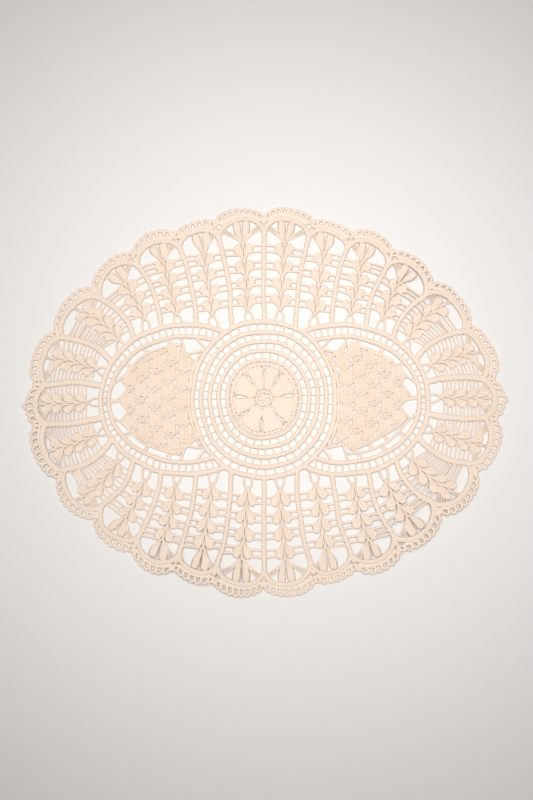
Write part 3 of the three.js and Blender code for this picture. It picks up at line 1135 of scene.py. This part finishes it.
net = {
    # columns of the crossings, from the medallion outwards, and their rows
    "crossings": [
        (55.5, (-43, -28, -14, 0, 14, 28, 43)),
        (66.0, (-35, -21, -7, 7, 21, 35)),
        (77.0, (-43, -28.5, -14, 0, 14, 28.5, 43)),
        (87.0, (-37.5, -22.5, -7.5, 7.5, 22.5, 37.5)),
        (97.7, (-46, -31, -16, 0, 16, 31, 46)),
        (106.9, (-42, -25, -8.5, 8.5, 25, 42)),
        (114.0, (-50, -33, -17, 0, 17, 33, 50)),
    ],
    # for threads that rise to the right and for those that fall: half distance of a pair, radius, level
    "rising": (0.68, 0.74, 1.5),
    "falling": (0.68, 0.7, 0.85),
    "step": 1.6,
    "sides": 6,
    "leastKept": 12,  # a thread with fewer points inside the filling is left out
    "leastPoints": 6,
    "pastEdge": 0.3,  # how far threads run into the windows' edge
    "offMedallion": 0.5,
    "offCorner": 1,  # how far threads pass the corner of the large gaps
}

window = {
    "inset": 6.6,  # of the windows' inner edge from the lobe's inner rib
    "insetGrows": (0.14, 0.5),  # from and to which angle off the lobe's end
    "edge": (0.16, 1.5, 200),  # first and last angle, and points before it is spaced evenly
    "edgePoints": 50,
    "edgeRadius": 0.9,
    "edgeLevel": 1.05,
    "sides": 8,
    "dividers": [0.62, 0.98, 1.33],
    "dividerPair": (-0.01, 0.03),  # angles of a divider's two threads off its own
    "dividerRadius": 0.6,
    "gapCorner": (62.4, 35.8),
    "gapThreads": [((65.8, 47.6), (62.4, 35.8)), ((62.4, 35.8), (49.6, 38.4)), ((53.6, 48.0), (46.6, 39.6))],
    "gapRadius": 1.05,
    "border": (3.0, 1.15, 36.5),  # cord beside the medallion: distance from its rib, radius, and its ends' y
    "borderAngle": 1.2,
    "borderPoints": 60,
    "endThreads": [((111.0, 0.5), (126.0, 2.6)), ((111.0, -0.9), (126.0, 1.2))],
    "endRadius": 0.75,
}


# Chains of crossings: rising ones step up one crossing in every second column, and falling ones mirror them
def netChains():
    most = max(len(rows) for _, rows in net["crossings"])
    chains = []
    for start in range(1 - most, most + 1):
        chain = []
        for number, (x, rows) in enumerate(net["crossings"]):
            index = start + number // 2
            if 0 <= index < len(rows):
                chain.append((x, rows[index]))
        if len(chain) > 1:
            chains.append(np.array(chain, float))
    return chains


# Inner edge of the windows: the lobe's inner oval drawn in by the inset, which closes towards the lobe's end
def fillingEdge(angle):
    halfX, halfY, _ = lobe["ribs"][1]
    inset = window["inset"] * smoothRise(np.abs(angle), *window["insetGrows"])
    return ovalPoint(halfX - inset, halfY - inset, lobe["power"], angle, lobe["centreX"])


# True for points nearer the lobe's centre than the windows' edge at their angle, outside the medallion and
# clear of the four large gaps beside it
def insideFilling(points):
    halfX, halfY, _ = lobe["ribs"][1]
    x, y = points[:, 0] - lobe["centreX"], points[:, 1]
    edge = fillingEdge(np.arctan2(y * halfX / halfY, x)) - np.array([lobe["centreX"], 0])
    within = np.hypot(x, y) < np.hypot(edge[:, 0], edge[:, 1]) + net["pastEdge"]
    cornerX, cornerY = window["gapCorner"]
    gap = (points[:, 0] < cornerX + net["offCorner"]) & (np.abs(y) > cornerY)
    return within & (medallionReach(points, net["offMedallion"]) > 1) & ~gap


# Doubled threads, each line shifted left and right by half their distance; those that rise to the right lie
# on top of those that fall
def fillingNet(side):
    made = []
    for chain in netChains():
        for hand in hands:
            line = placeFilling(evenly(chain * (1, hand), linePoints["chain"]), side)
            keep = insideFilling(line)
            if keep.sum() < net["leastKept"]:
                continue
            first, last = np.flatnonzero(keep)[[0, -1]]
            line = line[first:last + 1]
            line = evenly(line, max(net["leastPoints"], int(lengthOf(line) / net["step"])))
            apart, radius, level = net["rising" if hand == side else "falling"]
            left = leftOf(unit(np.gradient(line, axis=0)))
            for strand in hands:
                made.append(roundThread(line + left * strand * apart, level, radius, net["sides"]))
    return made


# The windows' edge and dividers, the threads round the large gaps, the cord beside the medallion, and the
# threads that tie the last crossing to the lobe's end
def fillingWindows(side):
    made = []
    halfX, halfY, _ = lobe["ribs"][1]
    gapStarts, gapEnds = np.array(window["gapThreads"], float).transpose(1, 0, 2)
    for hand in hands:
        edge = evenly(fillingEdge(np.linspace(*window["edge"])) * (1, hand), window["edgePoints"])
        made.append(roundThread(edge, window["edgeLevel"], window["edgeRadius"], window["sides"]))
        for divider in window["dividers"]:
            angle = divider + np.array(window["dividerPair"])
            a = ovalPoint(halfX, halfY, lobe["power"], angle, lobe["centreX"])
            made.append(bars(a * (1, hand), fillingEdge(angle) * (1, hand), window["dividerRadius"]))
        made.append(bars(gapStarts * (1, hand), gapEnds * (1, hand), window["gapRadius"]))
    away, radius, top = window["border"]
    ribX, ribY, _ = medallion["ribs"][0]
    widest = window["borderAngle"]
    border = ovalLine(ribX + away, ribY + away, medallion["power"], 0.0, -widest, widest)
    border = evenly(border[np.abs(border[:, 1]) < top], window["borderPoints"])
    made.append(roundThread(border, threads["level"], radius, window["sides"]))
    starts, ends = np.array(window["endThreads"], float).transpose(1, 0, 2) * (1, side)
    made.append(bars(starts, ends, window["endRadius"]))
    return made


# The right lobe's surfaces, and the left lobe's, which are made on the right and mirrored
def bothLobes(make):
    right, left = make(1), make(-1)
    return right + [mirrorSurface(part, (-1, 1)) for part in left]


makePiece("filling_blocks", bothLobes(fillingBlocks), darnedFilling)
makePiece("filling_net", bothLobes(fillingNet) + bothLobes(fillingWindows), twistedThread)


# Flower in the medallion: eight petals that touch but for a slit between them, a collar with a ring of small
# holes round it, and a wheel in its eye

flower = {
    "slits": [7, 55, 90, 127, 174, 215, 265, 312],  # degrees: hand work, so not quite evenly spread
    "radii": [7.2, 8.4, 10.2, 12.2, 13.6, 15.2, 17.0, 18.6, 20.0, 21.0, 22.3, 23.5, 24.6],
    "outer": 25.2,
    "slitStart": 12.8,
    "slitEnd": 20.6,
    "slitHalf": 0.4,
    "slitBow": 2.6,  # how quickly a slit opens
    "tall": 1.05,  # how much longer the flower is across the mat than along it
    "overlap": 1.12,  # how much wider petals are where they touch, before and beyond their slits
    "roundFrom": 18.4,
    "closing": 0.94,  # how far a petal closes at its outer end
    "height": 2.0,
    "roundness": 2.6,
    "crease": (9, 0.9, 1.5),  # station, depth and radius of the dip near a petal's outer end
}

collar = {
    "power": 2.0,
    "half": (25.9, 27.4),
    "radius": 1.15,
    "level": 1.1,
    "height": 0.9,
    "beads": 34,
    "bead": 0.28,  # how much thicker it is at a bead
    "beadPoints": 6,
    "sides": 8,
    "barSpacing": 5.0,
    "barRadius": 0.95,  # half width of a bar between two holes of the collar
    "barPower": 2.06,  # between the collar's and the medallion's
    "bobbles": (23.9, 25.3, 3.3, 0.85),  # short bars inside the collar: where they start, spacing and radius
}

wheel = {
    "half": 5.6,
    "radius": 1.0,
    "level": 1.5,
    "points": 28,
    "sides": 8,
    "spokes": 6,
    "spokeTurn": 0.25,  # of the first spoke, as a share of the way to the next
    "spokeStart": 0.2,
    "spokeRadius": 0.7,
    "bridges": 8,
    "bridgeTurn": 0.5,
    "bridgePast": 1.5,  # how far a bridge reaches under its petal
    "bridgeRadius": 1.0,
}


# Half width of a petal at a radius: the radius times the tangent of half the petal's angle, less
# slitHalf·slitBow·t· sqrt(1 - t^2) over the slit's length, and closed by a flattened quarter round at the
# end
def petalWidth(radius, halfAngle):
    wide = radius * np.tan(halfAngle)[:, None]
    along = (radius - flower["slitStart"]) / (flower["slitEnd"] - flower["slitStart"])
    opening = np.clip(along, 0, 1)
    wide = wide * np.where((along < 0) | (along > 1), flower["overlap"], 1.0)
    wide = wide - flower["slitHalf"] * flower["slitBow"] * opening * np.sqrt(1 - opening ** 2)
    ending = np.clip((radius - flower["roundFrom"]) / (flower["outer"] - flower["roundFrom"]), 0, 1)
    return wide * np.sqrt(1 - ending ** 2 * flower["closing"])


# A petal between each slit and the next: sections level across the line at the middle angle
def flowerPetals():
    slits = np.radians(flower["slits"])
    following = np.append(slits[1:], slits[0] + fullTurn)
    ahead = towards((slits + following) / 2)
    radii = np.array(flower["radii"])
    middle = ahead[:, None] * radii[:, None] * (1, flower["tall"])
    widths = petalWidth(radii, (following - slits) / 2)
    lefts = np.broadcast_to(leftOf(ahead)[:, None], middle.shape)
    return padAlong(middle, lefts, widths, flower["height"], flower["crease"], flower["roundness"])


# Collar: a closed cord on an oval, thicker by 1 + bead·cos(2 pi s / bead length), with bars out to the
# medallion's inner rib and short ones inwards
def collarThreads():
    outline = ovalLine(*collar["half"], collar["power"])[:-1]
    outline = evenly(outline, collar["beadPoints"] * collar["beads"], closed=True)
    bead = 1 + collar["bead"] * np.cos(fullTurn * collar["beads"] * np.arange(len(outline)) / len(outline))
    made = [sweep(withHeight(outline, collar["level"]), collar["radius"] * bead, collar["height"] * bead,
                  collar["sides"], closed=True)]
    a, b = ladderBetween(medallion["ribs"][-1], collar["half"], collar["barPower"], collar["barSpacing"])
    made.append(bars(a, b, collar["barRadius"]))
    startX, startY, spacing, radius = collar["bobbles"]
    a, b = ladderBetween(collar["half"], (startX, startY), collar["power"], spacing)
    made.append(bars(a, b, radius))
    return made


# Wheel: a closed round thread, spokes from its middle, and bridges from it to the petals, evenly spread
# round a turn
def wheelThreads():
    half = wheel["half"]
    rim = evenly(ovalLine(half, half, 2.0)[:-1], wheel["points"], closed=True)
    made = [roundThread(rim, wheel["level"], wheel["radius"], wheel["sides"], closed=True)]
    spoke = towards((np.arange(wheel["spokes"]) + wheel["spokeTurn"]) * fullTurn / wheel["spokes"])
    made.append(bars(spoke * wheel["spokeStart"], spoke * half, wheel["spokeRadius"]))
    bridge = towards((np.arange(wheel["bridges"]) + wheel["bridgeTurn"]) * fullTurn / wheel["bridges"])
    reach = flower["radii"][0] + wheel["bridgePast"]
    made.append(bars(bridge * half, bridge * reach, wheel["bridgeRadius"]))
    return made


makePiece("flower_petals", [flowerPetals()], laidPetals)
makePiece("flower_threads", collarThreads() + wheelThreads(), twistedThread)


# What each piece is to the frame: each is tied to the frame's root body, and the frame's own placemat is
# hidden. The mat's flat size and the net's area are not set here; that area is an assumed one for the net,
# not a measured one: it is just above the least that the frame takes for this size, 0.3 of the rectangle

for piece in pieces.values():
    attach(piece, "root")
    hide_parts("placemat")
print(len(pieces), "pieces tied to the frame")


# Table, light and camera

table = {"size": 6.0, "colour": "e5e4e2", "roughness": 0.7, "specular": 0.2}


# Matt painted board: evenly pale, with broad soft light and no clear reflections
def tableMaterial():
    material = bpy.data.materials.new("painted_board")
    material.use_nodes = True
    shader = material.node_tree.nodes["Principled BSDF"]
    shader.inputs["Base Color"].default_value = linearColour(table["colour"])
    shader.inputs["Roughness"].default_value = table["roughness"]
    shader.inputs["Specular IOR Level"].default_value = table["specular"]
    return material


half = table["size"] / 2
tableMesh = bpy.data.meshes.new("table")
tableCorners = [(-half, -half, 0), (half, -half, 0), (half, half, 0), (-half, half, 0)]
tableMesh.from_pydata(tableCorners, [], [(0, 1, 2, 3)])
tableMesh.materials.append(tableMaterial())
tableTop = bpy.data.objects.new("table", tableMesh)
bpy.context.scene.collection.objects.link(tableTop)

studio = {
    "fillColour": "ffecdb",
    "fillStrength": 0.21,
    "blend": 1.0,
    # place, what it points at, power, half angle of the cone in degrees, radius, colour
    "lamps": {
        "key": ((-0.90, 0.90, 1.60), (-0.01, -0.03, 0.0), 42.0, 7.5, 0.35, "ffffff"),
        "top": ((0.02, 0.045, 0.96), (0.02, 0.045, 0.0), 50.5, 35.0, 0.40, "fcfdff"),
    },
}


# An even fill from all round, and a soft spot for each lamp, turned so that its -Z runs from its place to
# its target
def makeLights():
    world = bpy.data.worlds.new("studio")
    world.use_nodes = True
    background = world.node_tree.nodes["Background"]
    background.inputs["Color"].default_value = linearColour(studio["fillColour"])
    background.inputs["Strength"].default_value = studio["fillStrength"]
    bpy.context.scene.world = world
    for name, (place, target, power, halfAngle, radius, colour) in studio["lamps"].items():
        lamp = bpy.data.lights.new(name, "SPOT")
        lamp.energy = power
        lamp.color = linearColour(colour)[:3]
        lamp.spot_size = float(np.radians(2 * halfAngle))
        lamp.spot_blend = studio["blend"]
        lamp.shadow_soft_size = radius
        lampObject = bpy.data.objects.new(name, lamp)
        lampObject.location = place
        aim = Vector(np.array(target) - np.array(place))
        lampObject.rotation_euler = aim.to_track_quat("-Z", "Y").to_euler()
        bpy.context.scene.collection.objects.link(lampObject)


view = {
    "lookAtY": -0.0019,
    "distance": 0.869,
    "tilt": 5.8,  # degrees from straight down
    "lens": 50.0,
    "sensor": 36.0,
    "shift": (0.0014, 0.0019),
    "clip": (0.01, 20.0),
}


# Camera above the mat: y = lookAtY - distance·sin(tilt) and z = distance·cos(tilt), turned by the tilt about
# x
def makeCamera():
    camera = bpy.data.cameras.new("camera")
    camera.lens = view["lens"]
    camera.sensor_width = view["sensor"]
    camera.shift_x, camera.shift_y = view["shift"]
    camera.clip_start, camera.clip_end = view["clip"]
    cameraObject = bpy.data.objects.new("camera", camera)
    tilt, distance = np.radians(view["tilt"]), view["distance"]
    cameraObject.location = (0.0, view["lookAtY"] - distance * np.sin(tilt), distance * np.cos(tilt))
    cameraObject.rotation_euler = (float(tilt), 0.0, 0.0)
    bpy.context.scene.collection.objects.link(cameraObject)
    bpy.context.scene.camera = cameraObject


makeLights()
makeCamera()
bpy.context.scene.view_settings.view_transform = "Standard"
print("table, light and camera made")
